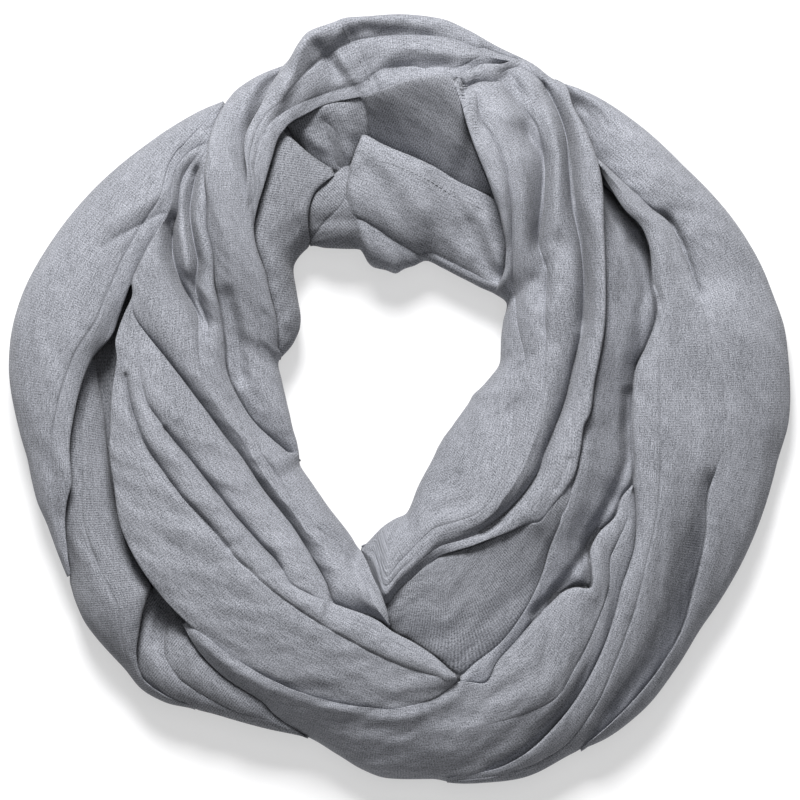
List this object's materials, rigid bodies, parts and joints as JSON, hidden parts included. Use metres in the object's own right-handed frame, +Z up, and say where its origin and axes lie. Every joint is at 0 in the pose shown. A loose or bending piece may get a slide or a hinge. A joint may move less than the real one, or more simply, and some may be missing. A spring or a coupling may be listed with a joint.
{
  "type": "infinity scarf",
  "caption": "Loop of soft heather grey jersey wound into a thick ring with deep soft folds and laid flat, with an open middle.",
  "frame": {"origin": "on the surface it lies on, under the middle of the ring", "axes": "+Z up from the surface, +Y towards the arched fold at the back, +X towards the side with the long pleated fall"},
  "size_m": [0.4225, 0.4152, 0.0655],
  "materials": {
    "jersey_face": "soft heather grey jersey knit, face side",
    "jersey_reverse": "darker reverse side of the same jersey knit",
    "jersey_inside": "the same jersey in the shade between the folds"
  },
  "bodies": {
    "root": {"left_outer_panel": "jersey_face", "left_lower_turn": "jersey_reverse", "bottom_left_turn": "jersey_reverse", "front_sweep": "jersey_face", "left_pleated_fall": "jersey_face", "left_inner_roll": "jersey_face", "inner_left_panel": "jersey_reverse", "left_under_layers": "jersey_reverse", "back_arch": "jersey_face", "back_inner_left": "jersey_reverse", "back_inner_panel": "jersey_reverse", "collar_band": "jersey_face", "right_pleated_fall": "jersey_face", "right_mid_strip": "jersey_face", "right_lower_lobe": "jersey_reverse", "right_outer_fold": "jersey_face", "right_outer_panel": "jersey_face", "front_lower_roll": "jersey_face", "hidden_layers": "jersey_inside"}
  },
  "joints": []
}
